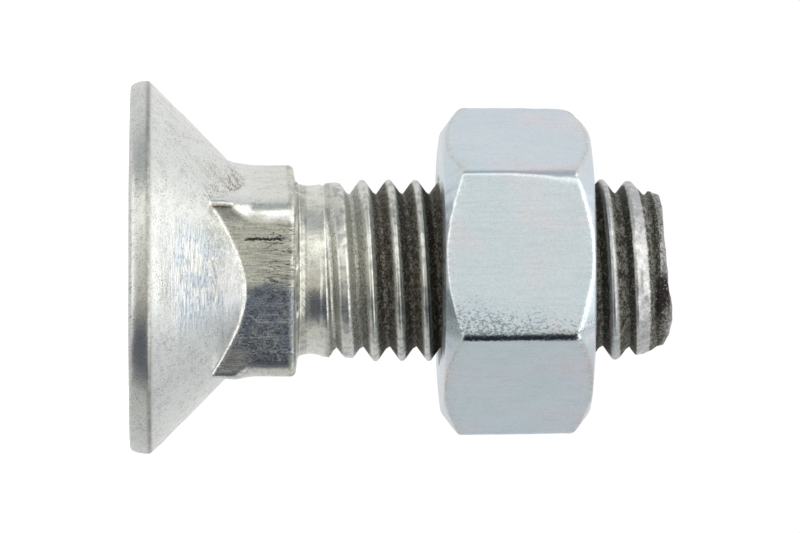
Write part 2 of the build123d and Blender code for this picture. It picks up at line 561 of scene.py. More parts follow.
def build_nut():
    rings = Rings(nut_angles())
    th = rings.angles
    n = rings.n
    one = np.ones(n)
    slope = 1.33

    def chamfer_z(face_r, face_z, way):
        # where the chamfer's cone cuts the side, found by a few steps
        z = np.full(n, face_z + way * 0.6)
        for _ in range(6):
            z = face_z + way * (0.13 + (nut_side(th, z) - face_r) / slope)
        return z

    low_r = 9.20 + 0.20 * np.cos(th - radians(315)) + 0.03 * nut_edge(th / (2 * pi), 0.2) + 0.008 * nut_jag(th / (2 * pi), 0.2)
    high_r = 9.22 + 0.14 * np.cos(th - radians(340)) + 0.03 * nut_edge(th / (2 * pi), 0.7) + 0.008 * nut_jag(th / (2 * pi), 0.8)
    z_low = chamfer_z(low_r, NUT_LOW, 1)
    z_high = chamfer_z(high_r, NUT_HIGH, -1)

    bore = 6.36
    inner = 6.03
    path = [
        (bore * one, NUT_LOW * one),
        (8.1 * one, NUT_LOW * one),
        (low_r * one, (NUT_LOW + 0.13) * one),
        (nut_side(th, z_low), z_low),
        (nut_side(th, z_high), z_high),
        (high_r * one, (NUT_HIGH - 0.13) * one),
        (8.0 * one, NUT_HIGH * one),
        (bore * one, NUT_HIGH * one),
    ]
    top_side = np.maximum(np.cos(th - ANGLE_UP), 0) ** 3
    low_side = np.maximum(np.cos(th - radians(290)), 0) ** 6
    lows = bevelled(path[:5], (0.25, 0.22, (0.17 + 0.30 * top_side) * (1 + 0.45 * nut_jag(th / (2 * pi), 0.1))), (4, 5, 8))[:-1]
    highs = bevelled(path[3:], ((0.24 + 0.45 * top_side + 0.18 * low_side) * (1 + 0.35 * nut_jag(th / (2 * pi), 0.9)), 0.22, 0.25), (9, 5, 4))[1:]
    # the threaded bore's lower countersink first
    rings.ring(inner, NUT_LOW + 0.42, "bore")
    for k in range(1, 4):
        rings.ring(inner + (bore - inner) * k / 4, NUT_LOW + 0.42 * (1 - k / 4), "bore")
    for r, z in lows:
        rings.ring(r, z, "nut")
    z_a, z_b = lows[-1][1], highs[0][1]
    for f in np.linspace(0, 1, 16)[1:-1]:
        z = z_a + (z_b - z_a) * f
        rings.ring(nut_side(th, z), z, "nut")
    for r, z in highs:
        rings.ring(r, z, "nut")
    for k in range(1, 4):
        rings.ring(bore + (inner - bore) * k / 4, NUT_HIGH - 0.42 * k / 4, "bore")
    rings.ring(inner, NUT_HIGH - 0.42, "bore")

    # the internal thread, in step with the bolt's
    def bore_radius(theta, z):
        theta, z = np.asarray(theta, float), np.asarray(z, float)
        phase = (z - CREST_Z) / PITCH - (theta - ANGLE_UP) / (2 * pi)
        a = np.abs((phase + 0.5) % 1.0 - 0.5) * PITCH
        # the first two turns are worn open, to start over the bolt's bruised end
        worn = 1 - step(z - NUT_LOW - 0.42, 2.3, 3.2)
        wall = CREST_R + 0.265 + 0.55 * worn - a * FLANK
        wall = smin(wall, CREST_R + 0.10, 0.02)
        wall = smax(wall, 5.22 + 0.46 * worn, 0.03)
        ends = np.minimum(z - (NUT_LOW + 0.42), NUT_HIGH - 0.42 - z)
        fade = step(ends, 0.0, 0.75)
        return inner + (wall - inner) * fade

    offsets = sorted(o % 1.0 for o in (-0.40, -0.33, -0.2, -0.09, 0.0, 0.09, 0.2, 0.33, 0.40, 0.5))
    phase_z = CREST_Z - PITCH * ANGLE_UP / (2 * pi)
    first_ring = list(range(n))
    z_end = NUT_LOW + 0.42
    end = rings.helix(bore_radius, NUT_HIGH - 0.42, z_end, PITCH, phase_z, offsets, "bore")
    # weld the helix's last ring to the first ring
    swap = {e: f for e, f in zip(end, first_ring)}
    rings.faces = [tuple(swap.get(v, v) for v in f) for f in rings.faces]
    tags = np.array(rings.tags)

    def attributes(co):
        r = np.hypot(co[:, 0], co[:, 1])
        th = np.arctan2(co[:, 1], co[:, 0]) % (2 * pi)
        z = co[:, 2]
        front = np.abs(turn_diff(th, NUT_TURN + radians(240)))
        # arcs where the chamfers cut the flats
        half = hex_radius(th, NUT_HALF, 0.5)
        low = NUT_LOW + 0.13 + (half - 9.20 - 0.20 * np.cos(th - radians(315))) / 1.33
        high = NUT_HIGH - 0.13 - (half - 9.22 - 0.14 * np.cos(th - radians(340))) / 1.33
        arc = np.maximum(bell(z, low + 0.05, 0.16), bell(z, high - 0.05, 0.16)) * (r > 8.8)
        corner_low = bell(turn_diff(th, NUT_TURN + radians(270)), 0, radians(1.5))
        return {
            "arc": arc,
            "corner_low": corner_low * step(z, low - 0.1, low + 0.2) * (1 - step(z, high - 0.2, high + 0.1)),
            "bore": (tags == "bore").astype(float),
            "front": 1 - step(front, radians(28.5), radians(30.5)),
            "face": ((z < NUT_LOW + 0.16) | (z > NUT_HIGH - 0.16)).astype(float),
        }

    obj = make_object("nut_forging", rings, attributes)
    # the welded-out ring leaves loose points
    bpy.context.view_layer.objects.active = obj
    import bmesh

    bm = bmesh.new()
    bm.from_mesh(obj.data)
    loose = [v for v in bm.verts if not v.link_faces]
    bmesh.ops.delete(bm, geom=loose, context="VERTS")
    bm.to_mesh(obj.data)
    bm.free()
    return obj


# ======================================================================================
# materials
# ======================================================================================
class Nodes:
    """A short way to write a node tree."""

    def __init__(self, tree):
        self.tree = tree
        tree.nodes.clear()

    def add(self, kind, **settings):
        node = self.tree.nodes.new(kind)
        for key, value in settings.items():
            setattr(node, key, value)
        return node

    def feed(self, socket, value):
        if isinstance(value, bpy.types.NodeSocket):
            self.tree.links.new(value, socket)
        elif value is not None:
            socket.default_value = value

    def math(self, op, a, b=None, c=None, clamp=False):
        node = self.add("ShaderNodeMath", operation=op, use_clamp=clamp)
        for socket, value in zip(node.inputs, (a, b, c)):
            self.feed(socket, value)
        return node.outputs[0]

    def vec(self, op, a, b=None, scale=None):
        node = self.add("ShaderNodeVectorMath", operation=op)
        self.feed(node.inputs[0], a)
        if b is not None:
            self.feed(node.inputs[1], b)
        if scale is not None:
            self.feed(node.inputs["Scale"], scale)
        return node.outputs["Value"] if op in ("DOT_PRODUCT", "LENGTH") else node.outputs[0]

    def noise(self, vector, scale, detail=3.0, rough=0.55, distortion=0.0):
        node = self.add("ShaderNodeTexNoise")
        self.feed(node.inputs["Vector"], vector)
        node.inputs["Scale"].default_value = scale
        node.inputs["Detail"].default_value = detail
        node.inputs["Roughness"].default_value = rough
        node.inputs["Distortion"].default_value = distortion
        return node.outputs["Fac"]

    def ramp(self, value, *stops, smooth=True):
        """Value through (position, number or colour) stops."""
        node = self.add("ShaderNodeValToRGB")
        node.color_ramp.interpolation = "EASE" if smooth else "LINEAR"
        ramp = node.color_ramp
        while len(ramp.elements) < len(stops):
            ramp.elements.new(0.5)
        for element, (position, colour) in zip(ramp.elements, stops):
            element.position = position
            if not isinstance(colour, (tuple, list)):
                colour = (colour, colour, colour)
            element.color = (*colour, 1)
        self.feed(node.inputs[0], value)
        return node.outputs[0]

    def band(self, value, low, high, clamp=True):
        """0 below low, 1 above high."""
        node = self.add("ShaderNodeMapRange", interpolation_type="SMOOTHSTEP")
        self.feed(node.inputs["Value"], value)
        node.inputs["From Min"].default_value = low
        node.inputs["From Max"].default_value = high
        return node.outputs[0]

    def mix(self, factor, a, b, kind="MIX"):
        node = self.add("ShaderNodeMix", data_type="RGBA", blend_type=kind)
        self.feed(node.inputs[0], factor)
        for socket, value in ((node.inputs[6], a), (node.inputs[7], b)):
            if isinstance(value, tuple) and len(value) == 3:
                value = (*value, 1)
            self.feed(socket, value)
        return node.outputs[2]

    def attribute(self, name):
        return self.add("ShaderNodeAttribute", attribute_name=name).outputs["Fac"]

    def join(self, x, y, z):
        node = self.add("ShaderNodeCombineXYZ")
        for socket, value in zip(node.inputs, (x, y, z)):
            self.feed(socket, value)
        return node.outputs[0]


def part_coordinates(n):
    """Object coordinates in mm, and around-the-axis ones that stretch noise into rings."""
    where = n.add("ShaderNodeTexCoord").outputs["Object"]
    mm = n.vec("SCALE", where, scale=1000.0)
    split = n.add("ShaderNodeSeparateXYZ")
    n.feed(split.inputs[0], mm)
    x, y, z = split.outputs
    r = n.math("SQRT", n.math("ADD", n.math("MULTIPLY", x, x), n.math("MULTIPLY", y, y)))
    r = n.math("MAXIMUM", r, 0.01)
    return mm, x, y, z, r, n.math("DIVIDE", x, r), n.math("DIVIDE", y, r)


def principled(n, colour, metallic, rough, normal):
    shader = n.add("ShaderNodeBsdfPrincipled")
    n.feed(shader.inputs["Base Color"], colour)
    n.feed(shader.inputs["Metallic"], metallic)
    n.feed(shader.inputs["Roughness"], rough)
    n.feed(shader.inputs["Normal"], normal)
    out = n.add("ShaderNodeOutputMaterial")
    n.feed(out.inputs[0], shader.outputs[0])
    return shader


def bump(n, height, distance, strength=1.0, normal=None):
    node = n.add("ShaderNodeBump")
    node.inputs["Strength"].default_value = strength
    node.inputs["Distance"].default_value = distance * MM
    n.feed(node.inputs["Height"], height)
    if normal is not None:
        n.feed(node.inputs["Normal"], normal)
    return node.outputs[0]


def window(n, value, low, high, soft):
    """1 between low and high, with soft edges."""
    up = n.band(value, low - soft, low + soft)
    down = n.band(value, high - soft, high + soft)
    return n.math("MULTIPLY", up, n.math("SUBTRACT", 1.0, down))


def stroke(n, value, centre, width):
    """A thin line where value is near centre."""
    away = n.math("ABSOLUTE", n.math("SUBTRACT", value, centre))
    return n.math("SUBTRACT", 1.0, n.band(away, width * 0.4, width))


def bolt_material():
    material = bpy.data.materials.new("worn_zinc_on_forged_steel")
    material.use_nodes = True
    n = Nodes(material.node_tree)
    mm, x, y, z, r, cx, cy = part_coordinates(n)
    mul, add, sub = (lambda p, q: n.math("MULTIPLY", p, q)), (lambda p, q: n.math("ADD", p, q)), (lambda p, q: n.math("SUBTRACT", p, q))

    dirt, pocket, seam = n.attribute("dirt"), n.attribute("pocket"), n.attribute("seam")
    neck, front, crest = n.attribute("neck"), n.attribute("front"), n.attribute("crest")
    cone, rim, threaded = n.attribute("cone"), n.attribute("rim"), n.attribute("threaded")
    rim_line, scuff, foot = n.attribute("rim_line"), n.attribute("scuff"), n.attribute("foot")
    plus, root, crease = n.attribute("plus"), n.attribute("root"), n.attribute("crease")
    land, late, lip = n.attribute("land"), n.attribute("late"), n.attribute("lip")

    # --- noises, all in mm ---
    cloud = n.noise(mm, 0.35, 3)
    mottle = n.noise(mm, 1.6, 5, 0.6)
    grain = n.noise(mm, 5.5, 4, 0.65)
    fine = n.noise(mm, 11.0, 3, 0.7)
    # streaks that run round the axis, on the cone, and along it, on the neck
    down_cone = sub(z, mul(r, 0.9))
    around = n.join(mul(cx, 7.0), mul(cy, 7.0), mul(down_cone, 3.6))
    rings = n.noise(around, 1.0, 4, 0.65, 0.3)
    around_fine = n.join(mul(cx, 22.0), mul(cy, 22.0), mul(down_cone, 6.0))
    rings_fine = n.noise(around_fine, 1.0, 3, 0.6)
    along = n.join(mul(x, 6.5), mul(y, 6.5), mul(z, 0.85))
    drawn = n.noise(along, 1.0, 5, 0.62, 0.6)
    along_fine = n.join(mul(x, 16.0), mul(y, 16.0), mul(z, 2.6))
    drawn_fine = n.noise(along_fine, 1.0, 3, 0.6, 0.2)

    # --- clean zinc: whiter on the head, yellower on the neck and shank ---
    bright = n.mix(n.band(cloud, 0.35, 0.65), (0.765, 0.775, 0.755), (0.80, 0.81, 0.795))
    warm = n.mix(n.band(cloud, 0.35, 0.65), (0.71, 0.71, 0.635), (0.73, 0.735, 0.68))
    zinc = n.mix(n.band(z, 6.5, 10.5), bright, warm)
    zinc = n.mix(mul(n.band(mottle, 0.48, 0.64), 0.40), zinc, (0.62, 0.63, 0.60))
    zinc = n.mix(mul(n.band(grain, 0.49, 0.61), add(0.30, mul(rim, 0.22))), zinc, (0.52, 0.525, 0.49))
    zinc = n.mix(mul(rim, 0.50), zinc, (0.61, 0.62, 0.585))
    # specks of dirt: dense on the rim, sparse elsewhere
    speck = n.band(fine, 0.555, 0.625)
    spread = n.band(mottle, 0.46, 0.58)
    amount = add(add(0.08, mul(spread, 0.40)), mul(rim, 0.20))
    zinc = n.mix(mul(speck, amount), zinc, (0.17, 0.16, 0.13))
    # larger soft brown specks, in drifts
    dots = n.noise(mm, 7.0, 2, 0.65)
    drift = n.band(n.noise(mm, 0.75, 3, 0.6), 0.46, 0.60)
    body = sub(1.0, threaded)
    zinc = n.mix(mul(mul(n.band(dots, 0.56, 0.64), body), add(0.10, mul(drift, 0.50))), zinc, (0.27, 0.235, 0.175))
    # painted highlight: white streaks along the brushed scratches and a white patch paint the cone's highlight on
    # its scuffed middle; blue-grey fretting in the scuffed patch of the cone
    scratch_highlight_streak = mul(scuff, n.band(rings, 0.60, 0.47))
    zinc = n.mix(mul(scratch_highlight_streak, 0.85), zinc, (0.95, 0.96, 0.96))
    painted_highlight_patch = mul(scuff, n.band(add(z, mul(sub(mottle, 0.5), 2.5)), 5.5, 6.5))
    zinc = n.mix(mul(painted_highlight_patch, 0.75), zinc, (0.97, 0.975, 0.975))
    fret = mul(scuff, n.band(rings_fine, 0.51, 0.58))
    patches = n.band(add(n.noise(n.vec("ADD", mm, (2.0, 5.0, 9.0)), 0.62, 3, 0.6), mul(n.band(z, 6.6, 4.6), 0.05)), 0.50, 0.57)
    patches = mul(patches, sub(1.0, mul(painted_highlight_patch, 0.8)))
    fret = mul(fret, patches)
    zinc = n.mix(mul(fret, 0.85), zinc, (0.33, 0.42, 0.53))
    zinc = n.mix(mul(mul(scuff, patches), 0.35), zinc, (0.55, 0.64, 0.74))
    # a dark line between the rim and the cone: dirt, and painted shade that dims the highlight on the rim's upper
    # edge
    zinc = n.mix(mul(rim_line, add(0.62, mul(n.band(mottle, 0.56, 0.44), 0.3))), zinc, (0.25, 0.25, 0.23))
    # brown dirt along the cone's seam, in the crease and at the neck's foot
    seam_mask = mul(seam, n.band(add(dots, mul(sub(mottle, 0.5), 0.7)), 0.44, 0.54))
    zinc = n.mix(mul(seam_mask, 0.85), zinc, (0.17, 0.135, 0.08))
    zinc = n.mix(mul(foot, n.band(mottle, 0.38, 0.55)), zinc, (0.16, 0.15, 0.10))

    # painted highlight: the neck's upper front corner is painted near-white to widen its highlight
    height = n.vec("DOT_PRODUCT", mm, tuple(PHOTO_UP))
    corner_painted_highlight = mul(window(n, height, 3.0, 3.95, 0.22), window(n, z, 8.7, 10.6, 0.6))
    zinc = n.mix(mul(corner_painted_highlight, n.band(mottle, 0.58, 0.44)), zinc, (0.97, 0.965, 0.95))

    # --- the neck's front flat: khaki film above; below, blue-black steel with the tent's dark side painted in as a reflection ---
    wander = mul(sub(cloud, 0.5), 1.6)
    low_part = n.band(add(x, add(wander, mul(sub(grain, 0.5), 0.8))), -0.95, -0.15)
    film = n.mix(n.band(drawn, 0.40, 0.62), (0.80, 0.80, 0.69), (0.55, 0.55, 0.475))
    film = n.mix(mul(n.band(grain, 0.50, 0.60), 0.42), film, (0.36, 0.35, 0.29))
    film = n.mix(mul(n.band(fine, 0.55, 0.63), 0.45), film, (0.17, 0.16, 0.12))
    # painted reflection: the blue-black paints the tent's dark side reflected in the lower part of the flat
    steel_and_dark_reflection = n.mix(n.band(drawn_fine, 0.42, 0.60), (0.40, 0.435, 0.48), (0.20, 0.22, 0.26))
    steel_and_dark_reflection = n.mix(mul(n.band(grain, 0.46, 0.57), 0.55), steel_and_dark_reflection, (0.60, 0.62, 0.64))
    steel_and_dark_reflection = n.mix(mul(n.band(mottle, 0.47, 0.58), 0.65), steel_and_dark_reflection, (0.13, 0.14, 0.17))
    blue = n.noise(n.vec("ADD", mm, (4.0, 1.0, 6.0)), 1.1, 3, 0.6)
    steel_and_dark_reflection = n.mix(mul(n.band(blue, 0.50, 0.60), 0.40), steel_and_dark_reflection, (0.20, 0.27, 0.38))
    steel_and_dark_reflection = n.mix(mul(n.band(dots, 0.53, 0.60), 0.65), steel_and_dark_reflection, (0.04, 0.04, 0.05))
    flat = n.mix(low_part, film, steel_and_dark_reflection)
    # a pale smear towards the low corner, by the cone
    smear = mul(window(n, x, 3.7, 5.6, 0.35), window(n, z, 5.2, 7.6, 0.4))
    flat = n.mix(mul(smear, 0.6), flat, (0.46, 0.45, 0.40))
    # dark cracks in the film
    crack_wave = mul(sub(n.noise(n.join(0.0, 0.0, mul(z, 1.9)), 1.0, 3, 0.6), 0.5), 0.45)
    crack = mul(stroke(n, add(x, crack_wave), -3.62, 0.15), window(n, z, 7.5, 10.1, 0.2))
    wavy = n.noise(n.join(mul(x, 3.3), 0.0, mul(z, 0.50)), 1.0, 2, 0.55, 0.9)
    wavy = mul(n.band(n.math("ABSOLUTE", sub(wavy, 0.5)), 0.034, 0.012), mul(window(n, z, 8.9, 10.9, 0.5), window(n, x, -4.6, -0.4, 0.3)))
    low_line = stroke(n, add(x, add(mul(crack_wave, 0.6), mul(n.band(z, 5.6, 8.2), 0.55))), 5.66, 0.27)
    low_line = mul(low_line, window(n, z, 5.3, 10.7, 0.2))
    lines = n.math("MAXIMUM", n.math("MAXIMUM", mul(crack, n.band(grain, 0.34, 0.46)), mul(wavy, 0.85)), mul(low_line, 1.0))
    flat = n.mix(lines, flat, (0.045, 0.045, 0.04))
    # light scratches in the lower half
    bend = add(x, mul(sub(1.0, n.band(z, 7.7, 8.6)), 0.5))
    scratches = mul(stroke(n, bend, 1.93, 0.10), window(n, z, 7.8, 10.3, 0.2))
    scratches = n.math("MAXIMUM", scratches, mul(stroke(n, x, 1.42, 0.08), window(n, z, 8.5, 9.7, 0.2)))
    scratches = n.math("MAXIMUM", scratches, mul(stroke(n, add(x, mul(z, 0.05)), 3.35, 0.05), window(n, z, 7.2, 10.6, 0.3)))
    scratches = mul(scratches, n.band(grain, 0.36, 0.52))
    flat = n.mix(mul(scratches, 0.50), flat, (0.75, 0.77, 0.78))
    zinc = n.mix(front, zinc, flat)
    zinc = n.mix(mul(crease, n.band(grain, 0.32, 0.44)), zinc, (0.10, 0.075, 0.045))

    zinc = n.mix(mul(mul(lip, n.band(mottle, 0.44, 0.58)), 0.6), zinc, (0.40, 0.40, 0.36))
    # --- the plain shank is stained with brown dots ---
    plain = mul(n.band(z, 10.9, 11.2), n.band(z, 13.3, 12.7))
    zinc = n.mix(mul(mul(plain, n.band(dots, 0.54, 0.61)), 0.42), zinc, (0.30, 0.26, 0.19))
    zinc = n.mix(mul(plain, 0.45), zinc, n.mix(n.band(mottle, 0.46, 0.60), (0.86, 0.86, 0.79), (0.66, 0.65, 0.58)))

    # painted shade: the shank's two fillets are darkened to dim their bright reflections
    fillet_painted_shade = add(window(n, z, 11.14, 11.60, 0.07), window(n, z, 12.80, 13.14, 0.08))
    zinc = n.mix(mul(fillet_painted_shade, add(0.36, mul(n.band(mottle, 0.42, 0.58), 0.34))), zinc, (0.33, 0.33, 0.30))

    # --- the lands are bruised and stained ---
    stain = mul(land, n.band(add(mottle, mul(late, 0.06)), 0.47, 0.60))
    zinc = n.mix(mul(stain, 0.65), zinc, (0.36, 0.36, 0.36))
    zinc = n.mix(mul(mul(land, late), 0.45), zinc, (0.50, 0.50, 0.54))
    zinc = n.mix(mul(mul(mul(land, late), n.band(grain, 0.52, 0.60)), 0.38), zinc, (0.22, 0.21, 0.20))

    # --- dirt in the thread ---
    edge = add(dirt, mul(sub(grain, 0.5), 1.0))
    mask = mul(n.band(edge, 0.10, 0.80), n.band(dirt, 0.0, 0.12))
    tint = n.mix(n.band(mottle, 0.40, 0.60), (0.150, 0.145, 0.120), (0.125, 0.098, 0.062))
    tint = n.mix(mul(n.band(cloud, 0.50, 0.64), 0.6), tint, (0.115, 0.078, 0.040))
    early = n.band(z, 16.2, 14.2)
    tint = n.mix(mul(early, 0.85), tint, (0.285, 0.29, 0.25))
    tint = n.mix(late, tint, n.mix(n.band(mottle, 0.44, 0.56), (0.25, 0.245, 0.22), (0.028, 0.024, 0.020)))
    dark = n.mix(n.band(mottle, 0.45, 0.62), (0.022, 0.020, 0.015), (0.055, 0.042, 0.026))
    dark = n.mix(mul(early, 0.8), dark, (0.15, 0.155, 0.13))
    side = n.mix(late, plus, sub(1.0, plus))
    tint = n.mix(n.band(add(side, mul(sub(mottle, 0.5), 0.9)), 0.48, 0.78), tint, dark)
    tint = n.mix(mul(root, add(0.25, mul(n.band(grain, 0.42, 0.52), 0.75))), tint, (0.34, 0.34, 0.30))
    tint = n.mix(mul(n.band(dots, 0.52, 0.58), 0.80), tint, (0.022, 0.019, 0.014))
    tint = n.mix(mul(n.band(dots, 0.47, 0.41), 0.62), tint, (0.36, 0.35, 0.29))
    tint = n.mix(mul(n.band(fine, 0.54, 0.60), 0.45), tint, (0.030, 0.026, 0.020))
    blobs = n.noise(n.vec("ADD", mm, (6.0, 3.0, 1.0)), 2.7, 3, 0.6)
    tint = n.mix(mul(n.band(blobs, 0.50, 0.57), mul(dirt, 0.70)), tint, (0.016, 0.014, 0.010))
    rust = mul(n.band(n.noise(mm, 2.6, 2), 0.62, 0.70), n.band(mottle, 0.46, 0.6))
    tint = n.mix(mul(rust, 0.8), tint, (0.20, 0.085, 0.025))
    colour = n.mix(mask, zinc, tint)
    torn = mul(pocket, n.band(grain, 0.33, 0.46))
    colour = n.mix(mul(torn, 0.95), colour, (0.018, 0.014, 0.014))
    metallic = n.math("SUBTRACT", 1.0, mul(mask, 0.80), clamp=True)
    metallic = n.math("SUBTRACT", metallic, mul(add(mul(scratch_highlight_streak, 0.3), mul(painted_highlight_patch, 0.35)), 1.0), clamp=True)
    metallic = n.math("SUBTRACT", metallic, mul(seam_mask, 0.75), clamp=True)
    metallic = n.math("SUBTRACT", metallic, mul(mul(front, n.math("SUBTRACT", 1.0, low_part)), 0.35), clamp=True)

    # --- roughness ---
    rough = add(0.17, mul(mottle, 0.14))
    rough = add(rough, mul(add(rim, mul(rim_line, 0.6)), 0.06))
    rough = add(rough, mul(land, 0.08))
    rough = add(rough, mul(mask, 0.38))
    rough = add(rough, mul(mul(speck, amount), 0.3))
    rough = add(rough, mul(front, 0.08))
    rough = add(rough, mul(scuff, 0.05))
    rough = add(rough, mul(plain, 0.02))
    rough = add(rough, mul(lip, 0.16))

    # --- relief ---
    relief = bump(n, mul(mottle, add(1.0, mul(plain, 1.3))), 0.010)
    relief = bump(n, mul(grain, add(add(0.30, mul(rim, 0.7)), add(mul(land, 1.6), mul(plain, 0.3)))), 0.008, 1.0, relief)
    relief = bump(n, mul(rings, add(mul(cone, 0.35), mul(scuff, 0.9))), 0.040, 1.0, relief)
    relief = bump(n, mul(rings_fine, add(mul(cone, 0.35), mul(scuff, 0.65))), 0.014, 1.0, relief)
    relief = bump(n, mul(drawn, add(mul(neck, 0.22), mul(front, 0.50))), 0.030, 1.0, relief)
    relief = bump(n, mul(drawn_fine, mul(front, low_part)), 0.012, 1.0, relief)
    relief = bump(n, mul(lines, front), -0.04, 1.0, relief)
    relief = bump(n, mul(grain, dirt), 0.06, 1.0, relief)
    relief = bump(n, mul(fine, add(mul(dirt, 1.0), mul(seam_mask, 0.2))), 0.02, 1.0, relief)
    shader = principled(n, colour, n.math("SUBTRACT", metallic, torn, clamp=True), rough, relief)
    n.feed(shader.inputs["Specular IOR Level"], sub(0.5, mul(torn, 0.42)))
    return material


def nut_material():
    material = bpy.data.materials.new("blue_white_zinc")
    material.use_nodes = True
    n = Nodes(material.node_tree)
    mm, x, y, z, r, cx, cy = part_coordinates(n)
    mul, add, sub = (lambda p, q: n.math("MULTIPLY", p, q)), (lambda p, q: n.math("ADD", p, q)), (lambda p, q: n.math("SUBTRACT", p, q))
    bore, front, face = n.attribute("bore"), n.attribute("front"), n.attribute("face")
    arc, corner_low = n.attribute("arc"), n.attribute("corner_low")

    cloud = n.noise(mm, 0.22, 3)
    mottle = n.noise(mm, 1.1, 4, 0.55)
    grain = n.noise(mm, 4.6, 4, 0.65)
    fine = n.noise(mm, 10.0, 3, 0.65)
    along = n.join(mul(x, 3.2), mul(y, 3.2), mul(z, 0.8))
    drawn = n.noise(along, 1.0, 4, 0.6, 0.4)
    drawn_long = n.noise(n.join(mul(x, 5.0), mul(y, 5.0), mul(z, 0.35)), 1.0, 3, 0.6)

    colour = n.mix(n.band(cloud, 0.35, 0.68), (0.635, 0.725, 0.785), (0.675, 0.745, 0.795))
    # a faint interference tint of the passivation
    tint = n.noise(n.vec("ADD", mm, (3.1, 7.7, 1.3)), 0.17, 3)
    colour = n.mix(mul(n.band(tint, 0.50, 0.66), 0.75), colour, (0.755, 0.705, 0.745))
    colour = n.mix(mul(n.band(tint, 0.48, 0.34), 0.45), colour, (0.64, 0.74, 0.765))
    colour = n.mix(mul(n.band(mottle, 0.50, 0.72), 0.35), colour, (0.60, 0.655, 0.69))
    colour = n.mix(mul(n.band(fine, 0.50, 0.60), 0.26), colour, (0.50, 0.54, 0.57))
    colour = n.mix(mul(n.band(grain, 0.50, 0.60), 0.16), colour, (0.50, 0.55, 0.58))
    colour = n.mix(mul(n.band(drawn_long, 0.50, 0.62), 0.16), colour, (0.50, 0.55, 0.60))
    # tan lines on the arcs of the chamfers, away from the front flat
    tan_line = mul(mul(arc, sub(1.0, front)), n.band(grain, 0.40, 0.55))
    colour = n.mix(mul(tan_line, 0.70), colour, (0.585, 0.535, 0.47))
    colour = n.mix(mul(mul(mul(arc, front), n.band(grain, 0.54, 0.44)), 0.6), colour, (0.84, 0.85, 0.86))
    # pits along one edge of the front flat, thinning out away from it
    down = n.vec("DOT_PRODUCT", mm, tuple(-PHOTO_UP))
    left = n.band(z, 29.0, 22.0)
    edge_band = mul(n.band(add(down, mul(left, 1.0)), 1.2, 5.4), front)
    pit_noise = n.noise(n.join(mul(x, 7.6), mul(y, 7.6), mul(z, 4.6)), 1.0, 3, 0.68, 0.5)
    pit_cut = sub(0.65, mul(edge_band, 0.160))
    pits = mul(n.math("SUBTRACT", pit_noise, pit_cut), 11.0)
    pits = n.math("MULTIPLY", n.math("MINIMUM", n.math("MAXIMUM", pits, 0.0), 1.0), edge_band)
    # a dark line along one corner
    corner_dark_line = mul(n.band(corner_low, 0.22, 0.60), n.band(add(corner_low, mul(sub(pit_noise, 0.5), 3.0)), 0.42, 0.72))
    colour = n.mix(mul(corner_dark_line, 0.92), colour, (0.075, 0.085, 0.10))
    colour = n.mix(mul(pits, 0.60), colour, (0.20, 0.23, 0.27))
    colour = n.mix(mul(bore, 0.75), colour, (0.20, 0.19, 0.17))

    rough = add(0.20, mul(mottle, 0.12))
    relief = bump(n, mottle, 0.008)
    relief = bump(n, drawn, 0.004, 1.0, relief)
    relief = bump(n, grain, 0.008, 1.0, relief)
    relief = bump(n, mul(fine, add(0.25, mul(arc, 1.8))), 0.006, 1.0, relief)
    relief = bump(n, mul(pits, -1.0), 0.05, 1.0, relief)
    metallic = sub(1.0, mul(bore, 0.3))
    principled(n, colour, metallic, rough, relief)
    return material


# ======================================================================================
# build
# ======================================================================================
bolt = build_bolt()
bolt.data.materials.append(bolt_material())
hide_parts("square_neck_bolt")
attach(bolt, "bolt")

nut = build_nut()
nut.data.materials.append(nut_material())
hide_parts("hex_nut")
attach(nut, "nut")

# the CAD nodes stay in the model behind them, with the same finish
for node, material in (("square_neck_bolt", bolt.data.materials[0]), ("hex_nut", nut.data.materials[0])):
    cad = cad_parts[node]
    if hasattr(cad, "data"):
        cad.data.materials.clear()
        cad.data.materials.append(material)

# ---- floor ---------------------------------------------------------------------------
floor_mesh = bpy.data.meshes.new("studio_floor")
size, seg = 3.0, 24
verts = [(-size + 2 * size * i / seg, -size + 2 * size * j / seg, -0.00002) for j in range(seg + 1) for i in range(seg + 1)]
quads = [(j * (seg + 1) + i, j * (seg + 1) + i + 1, (j + 1) * (seg + 1) + i + 1, (j + 1) * (seg + 1) + i) for j in range(seg) for i in range(seg)]
floor_mesh.from_pydata(verts, [], quads)
floor = bpy.data.objects.new("studio_floor", floor_mesh)
bpy.context.scene.collection.objects.link(floor)
paper = bpy.data.materials.new("white_paper")
paper.use_nodes = True
n = Nodes(paper.node_tree)
seen = n.add("ShaderNodeLightPath").outputs["Is Camera Ray"]
shader = n.add("ShaderNodeBsdfPrincipled")
fibre = n.noise(n.vec("SCALE", n.add("ShaderNodeTexCoord").outputs["Object"], scale=1000.0), 0.02, 3)
n.feed(shader.inputs["Base Color"], n.mix(n.band(fibre, 0.3, 0.7), (0.90, 0.90, 0.90), (0.93, 0.93, 0.93)))
shader.inputs["Roughness"].default_value = 0.9
shader.inputs["Specular IOR Level"].default_value = 0.1
shader.inputs["Emission Color"].default_value = (1, 1, 1, 1)
shader.inputs["Emission Strength"].default_value = 0.85
# the paper's own glow only clears the picture's ground: other rays meet a plain pale sheet
sheet = n.add("ShaderNodeEmission")
sheet.inputs["Color"].default_value = (0.60, 0.61, 0.62, 1)
both = n.add("ShaderNodeMixShader")
n.feed(both.inputs[0], seen)
n.feed(both.inputs[1], sheet.outputs[0])
n.feed(both.inputs[2], shader.outputs[0])
out = n.add("ShaderNodeOutputMaterial")
n.feed(out.inputs[0], both.outputs[0])
floor.data.materials.append(paper)
floor.visible_glossy = False

